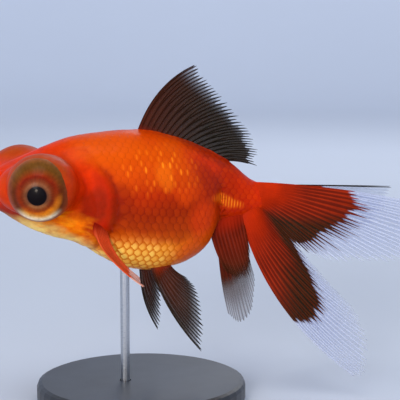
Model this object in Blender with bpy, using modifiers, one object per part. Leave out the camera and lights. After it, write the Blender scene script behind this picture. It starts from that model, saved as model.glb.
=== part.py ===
"""Telescope goldfish, a still life-size model on a plain display stand.

The fish faces -X and its left side is -Y.  It is modelled about its own mid-plane, in
millimetres, and an empty then sets the whole model on the floor with its box centred.
The body is one loft with a cup for each eye.  Thin cuts part it into head, trunk and
tail base.  Each fin is a fan of curved rays, made solid by its thickness.
"""

import math

import bpy
from mathutils import Matrix, Vector

MM = 0.001
GAP = 0.3                     # clearance between touching pieces

# ---- body: x, top, bottom, half width of the upper half, half width of the lower half
BODY_STATIONS = (
    (-53.5, 6.3, 3.7, 1.6, 1.6),
    (-52.7, 7.2, 2.6, 2.9, 2.9),
    (-50.6, 8.8, 0.9, 4.4, 4.2),
    (-48.0, 10.3, -0.6, 5.7, 5.4),
    (-45.0, 11.6, -2.7, 6.8, 6.6),
    (-41.0, 13.2, -5.0, 7.8, 7.6),
    (-36.0, 15.1, -7.0, 8.8, 8.6),
    (-31.0, 16.5, -8.4, 9.9, 9.7),
    (-25.0, 17.2, -12.1, 10.9, 11.0),
    (-19.0, 17.6, -15.1, 11.4, 11.9),
    (-13.0, 17.1, -16.0, 11.2, 12.2),
    (-7.0, 15.6, -15.2, 10.3, 11.9),
    (-2.5, 14.1, -13.5, 8.6, 10.6),
    (0.8, 12.6, -11.0, 7.1, 8.6),
    (2.8, 11.7, -7.6, 6.1, 6.2),
    (4.2, 10.9, -5.7, 5.5, 4.9),
    (8.0, 8.7, -5.0, 4.6, 4.3),
    (12.5, 5.0, -4.3, 3.8, 3.7),
    (14.6, 3.9, -4.0, 3.3, 3.2),
    (16.4, 3.2, -3.5, 2.5, 2.4),
    (17.4, 2.4, -2.7, 1.5, 1.5),
)
SECTION_SIDES = 28            # points round one section of the body
SECTION_POWER = 0.92          # below 1 the section is a little fuller than an ellipse

# ---- mouth: a ring of lip round the snout's end, tipped up
MOUTH = Vector((-53.4, 0.0, 5.1))
LIP_RADIUS = 1.45
LIP_THICKNESS = 0.62
MOUTH_TILT = math.radians(18)

# ---- eyes: balls in cups that stand out from the cheeks
EYE_RADIUS = 7.1
CUP_RADIUS = 8.0
CUP_RIM = 1.2                 # how far the cup's rim lies outward of the ball's centre
EYE_X, EYE_Y, EYE_Z = -41.8, 12.0, 6.3
EYE_FORWARD = math.radians(28)
EYE_DOWN = math.radians(5)
STALK_LENGTH = 9.5            # tapered stump between the cup's rim and the cheek
STALK_ROOT_RADIUS = 6.6
BROW_SIZE = (10.4, 7.6, 6.8)  # swelling round the stalk's root, half sizes

# ---- cuts between head, trunk and tail base
GILL_ARC_X, GILL_ARC_Z, GILL_ARC_RADIUS = -38.5, 1.0, 14.0
VENT_X, VENT_Z = 3.7, -5.5    # where the rear cut meets the underside
VENT_SLOPE = 0.34             # how far the rear cut leans back for each millimetre up

# ---- fins
FIN_THICKNESS = 0.6
TAIL_ROOT = (12.4, 1.0)       # x and half spread of the tail fins' roots
TAIL_SPLAY = math.radians(20)
TAIL_LEAN = math.radians(7.5)

# ---- stand
ROD_X, ROD_RADIUS, ROD_TOP = -19.0, 1.1, -11.0
BASE_TOP, BASE_THICKNESS, BASE_RADIUS = -42.6, 5.4, 25.0
BASE_X = -15.0
BASE_EDGE = 1.2
SOCKET_DEPTH = 2.5


# ------------------------------------------------------------------ helpers

def clear_scene():
    for item in list(bpy.data.objects):
        bpy.data.objects.remove(item, do_unlink=True)


def new_collection(name):
    group = bpy.data.collections.new(name)
    bpy.context.scene.collection.children.link(group)
    return group


def new_material(name, colour, roughness=0.4, metallic=0.0):
    material = bpy.data.materials.new(name)
    material.use_nodes = True
    shader = material.node_tree.nodes["Principled BSDF"]
    shader.inputs["Base Color"].default_value = (*colour, 1.0)
    shader.inputs["Roughness"].default_value = roughness
    shader.inputs["Metallic"].default_value = metallic
    return material


def new_object(name, points, faces, group):
    """Make an object from points in millimetres."""
    mesh = bpy.data.meshes.new(name)
    mesh.from_pydata([Vector(p) * MM for p in points], [], faces)
    mesh.update()
    item = bpy.data.objects.new(name, mesh)
    group.objects.link(item)
    return item


def take_active(name, group):
    """Name the primitive just added, apply its scale and turn, and move it to a group."""
    item = bpy.context.active_object
    item.name = name
    item.data.name = name
    bpy.ops.object.transform_apply(location=True, rotation=True, scale=True)
    for owner in list(item.users_collection):
        owner.objects.unlink(item)
    group.objects.link(item)
    return item


def add_sphere(name, centre, half_sizes, group, segments=20, rings=12, turn=(0, 0, 0)):
    bpy.ops.mesh.primitive_uv_sphere_add(segments=segments, ring_count=rings, radius=1,
                                         location=Vector(centre) * MM, rotation=turn)
    bpy.context.active_object.scale = Vector(half_sizes) * MM
    return take_active(name, group)


def add_cylinder(name, centre, radius, depth, group, sides=32, turn=(0, 0, 0)):
    bpy.ops.mesh.primitive_cylinder_add(vertices=sides, radius=radius * MM, depth=depth * MM,
                                        location=Vector(centre) * MM, rotation=turn)
    return take_active(name, group)


def add_boolean(item, cutter, operation):
    modifier = item.modifiers.new(operation.lower() + "_" + cutter.name, "BOOLEAN")
    modifier.operation = operation
    modifier.solver = "EXACT"
    modifier.object = cutter


def as_cutter(item):
    item.hide_render = True
    item.display_type = "WIRE"
    return item


def apply_modifiers(item):
    """Replace an object's mesh by the result of its modifiers."""
    depsgraph = bpy.context.evaluated_depsgraph_get()
    mesh = bpy.data.meshes.new_from_object(item.evaluated_get(depsgraph))
    item.modifiers.clear()
    item.data = mesh


def shade_smooth(item, angle=40):
    item.data.shade_smooth()
    item.data.set_sharp_from_angle(angle=math.radians(angle))


def mix(a, b, t):
    return a + (b - a) * t


def smooth_through(places, values, place):
    """Read a curve that passes through its values and makes no bump between them."""
    steps = [(values[i + 1] - values[i]) / (places[i + 1] - places[i])
             for i in range(len(values) - 1)]
    slopes = [steps[0]]
    for before, after in zip(steps, steps[1:]):
        slopes.append(0.0 if before * after <= 0 else 2 * before * after / (before + after))
    slopes.append(steps[-1])
    i = max(k for k in range(len(steps)) if k == 0 or place >= places[k])
    width = places[i + 1] - places[i]
    t = (place - places[i]) / width
    return ((2 * t**3 - 3 * t**2 + 1) * values[i] + (t**3 - 2 * t**2 + t) * width * slopes[i]
            + (3 * t**2 - 2 * t**3) * values[i + 1] + (t**3 - t**2) * width * slopes[i + 1])


def along(points, s):
    """Place at share s of an even, smooth run through a few points."""
    places = [i / (len(points) - 1) for i in range(len(points))]
    return Vector([smooth_through(places, [p[axis] for p in points], s) for axis in range(3)])


# ------------------------------------------------------------------ body

def body_section(x, grow):
    """Points round the body at x, from the belly up the left side and down the right."""
    places = [station[0] for station in BODY_STATIONS]
    top, bottom, upper, lower = (
        smooth_through(places, [station[k] for station in BODY_STATIONS], x)
        for k in range(1, 5))
    middle, half_height = (top + bottom) / 2, (top - bottom) / 2 + grow
    points = []
    for step in range(SECTION_SIDES):
        angle = 2 * math.pi * step / SECTION_SIDES - math.pi / 2
        share = (1 + math.sin(angle)) / 2
        half_width = mix(lower, upper, share) + grow
        across = -math.copysign(abs(math.cos(angle)) ** SECTION_POWER, math.cos(angle))
        points.append((x, half_width * across, middle + half_height * math.sin(angle)))
    return points


def body_loft(name, grow, group):
    """The body without its eye cups, grown by a clearance where it serves as a cutter."""
    places = [station[0] for station in BODY_STATIONS]
    stops = []
    for front, back in zip(places, places[1:]):
        stops += [front, (front + back) / 2]
    stops.append(places[-1])
    points = []
    for number, x in enumerate(stops):
        reach = {0: -grow, len(stops) - 1: grow}.get(number, 0.0)
        points += [(px + reach, py, pz) for px, py, pz in body_section(x, grow)]
    n = SECTION_SIDES
    faces = [tuple(range(n)), tuple(reversed(range(n * (len(stops) - 1), n * len(stops))))]
    for ring in range(len(stops) - 1):
        for k in range(n):
            a, b = ring * n + k, ring * n + (k + 1) % n
            faces.append((a, a + n, b + n, b))
    return new_object(name, points, faces, group)


def eye_axis(side):
    """Direction in which an eye looks; side is -1 for the left eye and 1 for the right."""
    level = math.cos(EYE_DOWN)
    return Vector((-math.sin(EYE_FORWARD) * level,
                   side * math.cos(EYE_FORWARD) * level,
                   -math.sin(EYE_DOWN)))


def make_body_form(cutters):
    """The whole body as one mesh: loft, brows, eye cups and lips, with the eyes' hollows."""
    body = as_cutter(body_loft("body_form", 0.0, cutters))
    for side, label in ((-1, "left"), (1, "right")):
        centre = Vector((EYE_X, side * EYE_Y, EYE_Z))
        axis = eye_axis(side)
        turn = axis.to_track_quat("Z", "Y").to_euler()
        brow = add_sphere("brow_" + label, centre + Vector((1.6, -side * 5.2, -0.7)),
                          BROW_SIZE, cutters)
        bpy.ops.mesh.primitive_cone_add(
            vertices=24, radius1=STALK_ROOT_RADIUS * MM, radius2=CUP_RADIUS * MM,
            depth=STALK_LENGTH * MM, rotation=turn,
            location=(centre + axis * (CUP_RIM - STALK_LENGTH / 2)) * MM)
        stalk = take_active("stalk_" + label, cutters)
        hollow = add_sphere("hollow_" + label, centre, (EYE_RADIUS + GAP,) * 3, cutters,
                            turn=turn)
        for cutter in (brow, stalk, hollow):
            as_cutter(cutter)
        add_boolean(body, brow, "UNION")
        add_boolean(body, stalk, "UNION")
        add_boolean(body, hollow, "DIFFERENCE")
    bpy.ops.mesh.primitive_torus_add(major_segments=20, minor_segments=8,
                                     major_radius=LIP_RADIUS * MM,
                                     minor_radius=LIP_THICKNESS * MM,
                                     location=MOUTH * MM,
                                     rotation=(0, math.pi / 2 + MOUTH_TILT, 0))
    bpy.context.active_object.scale = (1.0, 1.15, 1.0)
    lips = as_cutter(take_active("lips", cutters))
    add_boolean(body, lips, "UNION")
    apply_modifiers(body)
    return body


def gill_zone(name, radius, cutters):
    """Everything in front of the gill covers' rear edge, as a block with a round back."""
    outline = [(-70.0, GILL_ARC_Z - radius)]
    for step in range(25):
        angle = math.radians(-90 + 180 * step / 24)
        outline.append((GILL_ARC_X + radius * math.cos(angle),
                        GILL_ARC_Z + radius * math.sin(angle)))
    outline.append((-70.0, GILL_ARC_Z + radius))
    n = len(outline)
    points = [(x, y, z) for y in (-30.0, 30.0) for x, z in outline]
    faces = [tuple(range(n)), tuple(reversed(range(n, 2 * n)))]
    faces += [((k + 1) % n, k, k + n, (k + 1) % n + n) for k in range(n)]
    return as_cutter(new_object(name, points, faces, cutters))


def vent_zone(name, forward, cutters):
    """Everything behind the vent: a block whose front face leans back as it rises."""
    low, high = -30.0, 40.0
    front = [(VENT_X - forward + VENT_SLOPE * (z - VENT_Z), z) for z in (low, high)]
    outline = [front[0], (60.0, low), (60.0, high), front[1]]
    points = [(x, y, z) for y in (-20.0, 20.0) for x, z in outline]
    faces = [(0, 1, 2, 3), (7, 6, 5, 4)]
    faces += [((k + 1) % 4, k, k + 4, (k + 1) % 4 + 4) for k in range(4)]
    return as_cutter(new_object(name, points, faces, cutters))


def make_body(parts, cutters):
    form = make_body_form(cutters)
    zones = {
        "head": ((gill_zone("gill_front", GILL_ARC_RADIUS, cutters), "INTERSECT"),),
        "trunk": ((gill_zone("gill_back", GILL_ARC_RADIUS + GAP, cutters), "DIFFERENCE"),
                  (vent_zone("vent_front", GAP, cutters), "DIFFERENCE")),
        "tail_base": ((vent_zone("vent_back", 0.0, cutters), "INTERSECT"),),
    }
    colours = {"head": (0.72, 0.05, 0.008), "trunk": (0.80, 0.11, 0.01),
               "tail_base": (0.62, 0.04, 0.006)}
    body = {}
    for name, cuts in zones.items():
        item = bpy.data.objects.new(name, form.data.copy())
        parts.objects.link(item)
        for cutter, operation in cuts:
            add_boolean(item, cutter, operation)
        item.data.materials.clear()
        item.data.materials.append(new_material(name, colours[name]))
        body[name] = item
    hole = add_cylinder("rod_hole", (ROD_X, 0, ROD_TOP + GAP - 20.0), ROD_RADIUS + GAP, 40.0,
                        cutters, sides=16)
    add_boolean(body["trunk"], as_cutter(hole), "DIFFERENCE")
    return body


def make_eyes(parts):
    for side, label in ((-1, "left"), (1, "right")):
        turn = eye_axis(side).to_track_quat("Z", "Y").to_euler()
        eye = add_sphere("eye_" + label, (EYE_X, side * EYE_Y, EYE_Z), (EYE_RADIUS,) * 3,
                         parts, turn=turn)
        eye.data.materials.append(new_material(eye.name, (0.10, 0.06, 0.02), 0.1))
        shade_smooth(eye)


# ------------------------------------------------------------------ fins

def make_fin(name, fin, parts, clearance):
    """A fan of rays: each runs from the root line to the margin, bowed by a bend."""
    across, outward = fin["grid"]
    points = []
    for i in range(across + 1):
        s = i / across
        root, margin = along(fin["root"], s), along(fin["margin"], s)
        bend = fin["bow"][0].lerp(fin["bow"][1], s)
        crest = (root + margin) / 2 + bend
        for j in range(outward + 1):
            t = j / outward
            place = root * (1 - t) ** 2 + crest * 2 * t * (1 - t) + margin * t**2
            sway = fin["sway"] * t**1.5 * math.sin(2 * math.pi * fin["folds"] * s + 0.6)
            points.append(place + fin["face"] * sway)
    row = outward + 1
    faces = [(i * row + j, (i + 1) * row + j, (i + 1) * row + j + 1, i * row + j + 1)
             for i in range(across) for j in range(outward)]
    item = new_object(name, points, faces, parts)
    thicken = item.modifiers.new("thickness", "SOLIDIFY")
    thicken.thickness = FIN_THICKNESS * MM
    thicken.offset = 0.0
    add_boolean(item, clearance, "DIFFERENCE")
    item.data.materials.append(new_material(name, fin["colour"], 0.35))
    return item


def mirrored(point, side):
    return Vector((point[0], side * point[1], point[2]))


def paired(fin, side):
    """The fin as given for the left side, or its mirror image for the right."""
    turned = dict(fin)
    for key in ("root", "margin", "bow"):
        turned[key] = [mirrored(Vector(p), side) for p in fin[key]]
    turned["face"] = mirrored(fin["face"], side)
    return turned


def tail_place(distance, height):
    """A place on the left tail fin's splayed plane, given its distance back and height."""
    back = Vector((math.cos(TAIL_SPLAY), -math.sin(TAIL_SPLAY), 0))
    face = Vector((-math.sin(TAIL_SPLAY), -math.cos(TAIL_SPLAY), 0))
    up = Vector((0, 0, math.cos(TAIL_LEAN))) - face * math.sin(TAIL_LEAN)
    return Vector((TAIL_ROOT[0], -TAIL_ROOT[1], 0)) + back * distance + up * height


def tail_lobe(root, margin, bow, colour, folds, pitch):
    """One lobe of the left tail fin, turned up about its root by pitch."""
    turn = Matrix.Rotation(-pitch, 3, "Y")
    pivot = tail_place(0, 0)
    origin = tail_place(0, 0)
    lobe = {
        "root": [pivot + turn @ (tail_place(*p) - pivot) for p in root],
        "margin": [pivot + turn @ (tail_place(*p) - pivot) for p in margin],
        "bow": [turn @ (tail_place(*p) - origin) for p in bow],
        "grid": (11, 8), "sway": 0.9, "folds": folds, "colour": colour,
        "face": Vector((-math.sin(TAIL_SPLAY), -math.cos(TAIL_SPLAY), 0)),
    }
    return lobe


def make_tail_fins(parts, clearance):
    red = (0.66, 0.05, 0.006)
    for side, label, pitch in ((1, "left", 0.0), (-1, "right", math.radians(3))):
        lobes = {
            "upper": tail_lobe(
                root=((0, 4.0), (0, 0.4)),
                margin=((51.5, -6.5), (51, -10.5), (44, -14.6), (33, -15), (19, -12.9),
                        (9.2, -9.0)),
                bow=((0, 1.8), (0, 0.4)), colour=red, folds=1.4, pitch=pitch),
            "lower": tail_lobe(
                root=((0, -4.0), (0, -0.5)),
                margin=((24.5, -43.6), (28.0, -41.5), (28.8, -35.3), (26.4, -28.4),
                        (18.4, -21.4), (8.3, -10.3)),
                bow=((-12, -5.0), (0, 0)), colour=red, folds=1.2, pitch=pitch),
        }
        for lobe, fin in lobes.items():
            make_fin(f"tail_fin_{label}_{lobe}", paired(fin, side), parts, clearance)


def make_fins(parts, clearance):
    dark, brown = (0.035, 0.022, 0.012), (0.10, 0.02, 0.008)
    make_fin("dorsal_fin", {
        "root": [Vector((-16.2, 0, 15.4)), Vector((-4.0, 0, 12.8)), Vector((6.6, 0, 7.4))],
        "margin": [Vector((-0.8, 0, 32.3)), Vector((4.4, 0, 25.6)), Vector((10.2, 0, 19.0)),
                   Vector((13.6, 0, 13.4)), Vector((14.2, 0, 8.1))],
        "bow": (Vector((-4.3, 0, 6.0)), Vector((0.6, 0, 1.4))),
        "grid": (14, 7), "sway": 0.5, "folds": 1.5, "face": Vector((0, 1, 0)),
        "colour": dark}, parts, clearance)

    pectoral_spread = {
        "root": [Vector((-28.9, -8.6, -2.4)), Vector((-26.6, -8.8, -5.6))],
        "margin": [Vector((-25.6, -22.6, -11.6)), Vector((-22.2, -21.4, -15.6)),
                   Vector((-19.6, -16.8, -17.6)), Vector((-21.0, -12.4, -14.0))],
        "bow": (Vector((0, -0.8, -0.4)), Vector((0, 0, 0))),
        "grid": (8, 7), "sway": 0.3, "folds": 1.0, "face": Vector((0.8, 0, 0.6)),
        "colour": (0.62, 0.05, 0.01)}
    pectoral_folded = {
        "root": [Vector((-28.9, -8.6, -2.4)), Vector((-26.6, -8.8, -5.6))],
        "margin": [Vector((-13.0, -17.4, -4.4)), Vector((-11.6, -17.2, -7.6)),
                   Vector((-14.2, -16.0, -10.6)), Vector((-18.2, -14.4, -11.0))],
        "bow": (Vector((0, -1.6, 0)), Vector((0, -1.0, 0))),
        "grid": (8, 7), "sway": 0.3, "folds": 1.0, "face": Vector((0.3, -0.9, 0.2)),
        "colour": (0.62, 0.05, 0.01)}
    make_fin("pectoral_fin_left", paired(pectoral_spread, 1), parts, clearance)
    make_fin("pectoral_fin_right", paired(pectoral_folded, -1), parts, clearance)

    for side, label, shift in ((1, "left", Vector((0, 0, 0))),
                               (-1, "right", Vector((-4.6, 0, 2.4)))):
        pelvic = {
            "root": [Vector((-14.0, -3.8, -14.0)), Vector((-9.4, -4.2, -14.0))],
            "margin": [Vector((-2.4, -8.0, -35.3)) + shift, Vector((-1.8, -7.6, -30.8)) + shift,
                       Vector((-2.2, -7.0, -25.0)) + shift * 0.9,
                       Vector((-3.2, -6.0, -19.4)) + shift * 0.6],
            "bow": (Vector((-3.0, 0, -0.8)), Vector((0, 0, -1.0))),
            "grid": (8, 7), "sway": 0.5, "folds": 1.2, "face": Vector((0, 1, 0)),
            "colour": dark}
        make_fin("pelvic_fin_" + label, paired(pelvic, side), parts, clearance)

    anal_near = {
        "root": [Vector((3.4, -1.4, -3.4)), Vector((10.2, -1.3, -3.0))],
        "margin": [Vector((2.8, -6.0, -16.4)), Vector((6.8, -6.6, -20.6)),
                   Vector((10.2, -6.2, -20.0)), Vector((11.4, -4.2, -12.0))],
        "bow": (Vector((-1.6, 0, -0.6)), Vector((0, 0, -0.6))),
        "grid": (8, 7), "sway": 0.4, "folds": 1.0, "face": Vector((0, 1, 0)),
        "colour": brown}
    anal_far = {
        "root": [Vector((4.8, -1.4, -3.4)), Vector((10.2, -1.3, -3.0))],
        "margin": [Vector((9.8, -3.0, -30.6)), Vector((13.0, -2.8, -32.0)),
                   Vector((16.0, -2.4, -27.0)), Vector((13.0, -1.6, -15.0))],
        "bow": (Vector((-2.2, 0, -0.8)), Vector((0, 0, -0.6))),
        "grid": (8, 7), "sway": 0.4, "folds": 1.0, "face": Vector((0, 1, 0)),
        "colour": brown}
    make_fin("anal_fin_left", paired(anal_near, 1), parts, clearance)
    make_fin("anal_fin_right", paired(anal_far, -1), parts, clearance)


# ------------------------------------------------------------------ stand

def make_stand(parts, cutters):
    base = add_cylinder("stand_base", (BASE_X, 0, BASE_TOP - BASE_THICKNESS / 2), BASE_RADIUS,
                        BASE_THICKNESS, parts, sides=48)
    edge = base.modifiers.new("edge", "BEVEL")
    edge.width = BASE_EDGE * MM
    edge.segments = 2
    edge.limit_method = "ANGLE"
    socket_floor = BASE_TOP - SOCKET_DEPTH
    socket = add_cylinder("rod_socket", (ROD_X, 0, socket_floor + 5.0), ROD_RADIUS + GAP, 10.0,
                          cutters, sides=16)
    add_boolean(base, as_cutter(socket), "DIFFERENCE")
    base.data.materials.append(new_material("stand_base", (0.02, 0.02, 0.02), 0.45))
    foot = socket_floor + GAP
    rod = add_cylinder("stand_rod", (ROD_X, 0, (foot + ROD_TOP) / 2), ROD_RADIUS,
                       ROD_TOP - foot, parts, sides=16)
    rod.data.materials.append(new_material("stand_rod", (0.6, 0.6, 0.6), 0.3, 1.0))
    shade_smooth(rod)


def set_on_floor(parts, cutters):
    """Parent pieces and cutters to an empty that centres the pieces' box over the floor."""
    depsgraph = bpy.context.evaluated_depsgraph_get()
    corners = []
    for item in parts.objects:
        mesh = item.evaluated_get(depsgraph).to_mesh()
        corners += [item.matrix_world @ vertex.co for vertex in mesh.vertices]
        item.evaluated_get(depsgraph).to_mesh_clear()
    low = [min(corner[axis] for corner in corners) for axis in range(3)]
    high = [max(corner[axis] for corner in corners) for axis in range(3)]
    root = bpy.data.objects.new("goldfish", None)
    root.location = (-(low[0] + high[0]) / 2, -(low[1] + high[1]) / 2, -low[2])
    for item in list(parts.objects) + list(cutters.objects):
        item.parent = root
    parts.objects.link(root)


clear_scene()
parts = new_collection("telescope_goldfish")
cutters = new_collection("cutters")
make_body(parts, cutters)
make_eyes(parts)
clearance = as_cutter(body_loft("body_clearance", GAP + 0.1, cutters))
make_fins(parts, clearance)
make_tail_fins(parts, clearance)
make_stand(parts, cutters)
set_on_floor(parts, cutters)
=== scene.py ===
import math
import random

import bmesh
import bpy
from mathutils import Euler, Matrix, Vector, noise
from mathutils.bvhtree import BVHTree


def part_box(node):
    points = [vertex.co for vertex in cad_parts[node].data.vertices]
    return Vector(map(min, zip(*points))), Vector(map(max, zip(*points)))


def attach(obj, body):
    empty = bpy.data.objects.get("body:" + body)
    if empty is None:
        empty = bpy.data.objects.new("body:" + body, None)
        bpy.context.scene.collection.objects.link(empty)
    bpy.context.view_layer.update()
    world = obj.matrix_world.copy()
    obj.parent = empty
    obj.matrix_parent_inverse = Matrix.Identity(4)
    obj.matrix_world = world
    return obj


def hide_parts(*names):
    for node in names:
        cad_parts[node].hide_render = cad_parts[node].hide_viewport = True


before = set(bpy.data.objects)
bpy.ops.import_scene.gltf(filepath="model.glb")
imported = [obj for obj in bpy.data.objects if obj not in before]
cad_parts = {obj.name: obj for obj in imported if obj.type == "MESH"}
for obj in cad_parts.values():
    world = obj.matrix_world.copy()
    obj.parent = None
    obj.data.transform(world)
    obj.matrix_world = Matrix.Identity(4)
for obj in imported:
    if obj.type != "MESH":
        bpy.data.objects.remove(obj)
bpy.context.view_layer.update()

MM = 0.001
bpy.context.scene.view_settings.view_transform = "Standard"

# ======================== Studio and camera
# A pale bowl of a studio stands round the fish: a level floor that turns up into a wall.
# Three soft lamps light it from above, in front and behind, and a warm spot from low down.
# The camera looks slightly down on the fish's left side from a little ahead of it.

ROD_BEHIND_MIDDLE = -19.0                 # the rod's x on the fish, whose middle is at 0
BASE_TOP_BELOW_MIDDLE = -42.6
rod_low, rod_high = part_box("stand_rod")
base_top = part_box("stand_base")[1].z
MIDDLE = Vector(((rod_low.x + rod_high.x) / 2 - ROD_BEHIND_MIDDLE * MM,
                 (rod_low.y + rod_high.y) / 2, base_top - BASE_TOP_BELOW_MIDDLE * MM))


def at(x, y, z):
    """A place on the fish, given in millimetres from its middle."""
    return MIDDLE + Vector((x, y, z)) * MM


def tint(red, green, blue):
    """A colour given as it looks on a screen, 0 to 255, made linear."""
    linear = [((c / 255 + 0.055) / 1.055) ** 2.4 if c > 10 else c / 255 / 12.92
              for c in (red, green, blue)]
    return (*linear, 1.0)


def fill_sockets(tree, node, values):
    """Set a node's sockets to plain values, or link them to what other nodes give."""
    for key, value in values.items():
        if isinstance(value, bpy.types.NodeSocket):
            tree.links.new(value, node.inputs[key])
        else:
            node.inputs[key].default_value = value


def add_node(tree, kind, inputs=None, **settings):
    """Add a shader node, set its options and fill its sockets."""
    made = tree.nodes.new("ShaderNode" + kind)
    for name, value in settings.items():
        setattr(made, name, value)
    fill_sockets(tree, made, inputs or {})
    return made


def new_material(name):
    material = bpy.data.materials.new(name)
    material.use_nodes = True
    return material, material.node_tree, material.node_tree.nodes["Principled BSDF"]


def object_place(tree):
    return add_node(tree, "TexCoord").outputs["Object"]


def noise_value(tree, place, scale, detail):
    return add_node(tree, "TexNoise", {"Vector": place, "Scale": scale,
                                       "Detail": detail}).outputs["Fac"]


def reckon_vector(tree, operation, *values):
    """Do one sum with vectors; lengths, distances and dot products come out as numbers."""
    made = add_node(tree, "VectorMath", dict(enumerate(values)), operation=operation)
    numbers = ("LENGTH", "DISTANCE", "DOT_PRODUCT")
    return made.outputs["Value" if operation in numbers else "Vector"]


def rise(tree, value, low, high, bottom=0.0, top=1.0, course="LINEAR"):
    """Go from bottom to top as the value goes from low to high, and stay level beyond."""
    return add_node(tree, "MapRange", {
        "Value": value, "From Min": low, "From Max": high, "To Min": bottom, "To Max": top},
        interpolation_type=course).outputs[0]


def two_tones(tree, value, first, second):
    ramp = add_node(tree, "ValToRGB", {"Fac": value})
    for stop, colour in zip(ramp.color_ramp.elements, (first, second)):
        stop.color = tint(*colour)
    return ramp.outputs["Color"]


def start_with(add_primitive, **settings):
    """Begin a piece with a primitive that alone is selected."""
    bpy.ops.object.select_all(action="DESELECT")
    add_primitive(**settings)
    return bpy.context.active_object


def apply_modifier(item, kind, **settings):
    """Give the active object a modifier, set it and apply it at once."""
    added = item.modifiers.new(kind.lower(), kind)
    for name, value in settings.items():
        setattr(added, name, value)
    bpy.ops.object.modifier_apply(modifier=added.name)


STUDIO_RADIUS, STUDIO_HEIGHT, STUDIO_BEND = 1.6, 1.5, 0.6
GLOW_STARTS = 0.15                        # distance from the middle of the floor
GLOW_AT_WALL = 0.58
studio = start_with(bpy.ops.mesh.primitive_circle_add, vertices=96, radius=STUDIO_RADIUS,
                    fill_type="NGON")
studio.name = "studio_floor"
bpy.ops.object.mode_set(mode="EDIT")
bpy.ops.mesh.select_all(action="SELECT")
bpy.ops.mesh.region_to_loop()
bpy.ops.mesh.extrude_edges_move(TRANSFORM_OT_translate={"value": (0, 0, STUDIO_HEIGHT)})
bpy.ops.object.mode_set(mode="OBJECT")
apply_modifier(studio, "BEVEL", width=STUDIO_BEND, segments=16, limit_method="ANGLE")
bpy.ops.object.shade_smooth()
paper, tree, shader = new_material("studio_paper")
place = object_place(tree)
tone = two_tones(tree, noise_value(tree, place, 6.0, 3.0), (190, 198, 212), (196, 204, 218))
# the bowl glows more the farther it is from the lamps, so that it looks evenly bright
glow = rise(tree, reckon_vector(tree, "LENGTH", place),
            GLOW_STARTS, STUDIO_RADIUS, 0.0, GLOW_AT_WALL)
fill_sockets(tree, shader, {
    "Base Color": tone, "Roughness": 0.9,
    "Emission Color": tint(176, 186, 206), "Emission Strength": glow})
studio.data.materials.append(paper)


def add_lamp(name, offset, size, power, colour=(1.0, 1.0, 1.0), cone=None):
    """A round soft lamp that looks at the fish, or, with a cone, a spot that leaves the
    floor round it dark."""
    lamp = bpy.data.lights.new(name, "SPOT" if cone else "AREA")
    if cone:
        lamp.spot_size, lamp.spot_blend = cone, 0.6
        lamp.shadow_soft_size = size / 2
    else:
        lamp.shape, lamp.size = "DISK", size
    lamp.energy = power
    lamp.color = colour
    holder = bpy.data.objects.new(name, lamp)
    bpy.context.scene.collection.objects.link(holder)
    place = MIDDLE + Vector(offset)
    holder.location = place
    holder.visible_camera = False
    holder.rotation_euler = (place - MIDDLE).to_track_quat("Z", "Y").to_euler()


add_lamp("light_over", (-0.12, -0.16, 0.62), 0.42, 1.45)
add_lamp("light_front", (-0.42, -0.58, 0.24), 0.28, 2.5)
add_lamp("light_back", (0.34, 0.50, 0.42), 0.40, 1.2)
add_lamp("light_low", (-0.26, -0.44, 0.02), 0.08, 3.6, (1.0, 0.86, 0.70),
         cone=math.radians(30))
sky = bpy.data.worlds.new("studio_air")
sky.use_nodes = True
fill_sockets(sky.node_tree, sky.node_tree.nodes["Background"],
             {"Color": tint(242, 240, 236), "Strength": 0.40})
bpy.context.scene.world = sky

VIEW_TURN, VIEW_RISE = math.radians(-20), math.radians(8)
VIEW_DISTANCE, VIEW_WIDTH = 0.320, 0.096
camera = bpy.data.cameras.new("camera")
camera.sensor_width = 36.0
camera.lens = camera.sensor_width * VIEW_DISTANCE / VIEW_WIDTH
camera.clip_start = 0.01
camera_holder = bpy.data.objects.new("camera", camera)
bpy.context.scene.collection.objects.link(camera_holder)
toward_camera = Vector((math.sin(VIEW_TURN) * math.cos(VIEW_RISE),
                        -math.cos(VIEW_TURN) * math.cos(VIEW_RISE),
                        math.sin(VIEW_RISE)))
camera_holder.location = MIDDLE + toward_camera * VIEW_DISTANCE
camera_holder.rotation_euler = toward_camera.to_track_quat("Z", "Y").to_euler()
bpy.context.scene.camera = camera_holder

# ======================== Skin
# One wet skin covers head, trunk and tail root, with a round fold behind each gill cover,
# lips, nostrils and a fleshy ring that holds each eye.
# It lies just inside the solids, by the thickness of the scales that grow on it.

COAT_DEPTH = 0.16
SKIN_GRAIN = 0.30                         # edge length of the skin's mesh
# x, top, bottom, half width above, half width below
BODY_STATIONS = (
    (-53.5, 6.3, 3.7, 1.6, 1.6), (-52.7, 7.2, 2.6, 2.9, 2.9), (-50.6, 8.8, 0.9, 4.4, 4.2),
    (-48.0, 10.3, -0.6, 5.7, 5.4), (-45.0, 11.6, -2.7, 6.8, 6.6),
    (-41.0, 13.2, -5.0, 7.8, 7.6), (-36.0, 15.1, -7.0, 8.8, 8.6),
    (-31.0, 16.5, -8.4, 9.9, 9.7), (-25.0, 17.2, -12.1, 10.9, 11.0),
    (-19.0, 17.6, -15.1, 11.4, 11.9), (-13.0, 17.1, -16.0, 11.2, 12.2),
    (-7.0, 15.6, -15.2, 10.3, 11.9), (-2.5, 14.1, -13.5, 8.6, 10.6),
    (0.8, 12.6, -11.0, 7.1, 8.6), (2.8, 11.7, -7.6, 6.1, 6.2), (4.2, 10.9, -5.7, 5.5, 4.9),
    (8.0, 8.7, -5.0, 4.6, 4.3), (12.5, 5.0, -4.3, 3.8, 3.7), (14.6, 3.9, -4.0, 3.3, 3.2),
    (16.4, 3.2, -3.5, 2.5, 2.4), (17.4, 2.4, -2.7, 1.5, 1.5))
SECTION_POWER = 0.92
MOUTH = Vector((-53.3, 0.0, 5.1))
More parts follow.
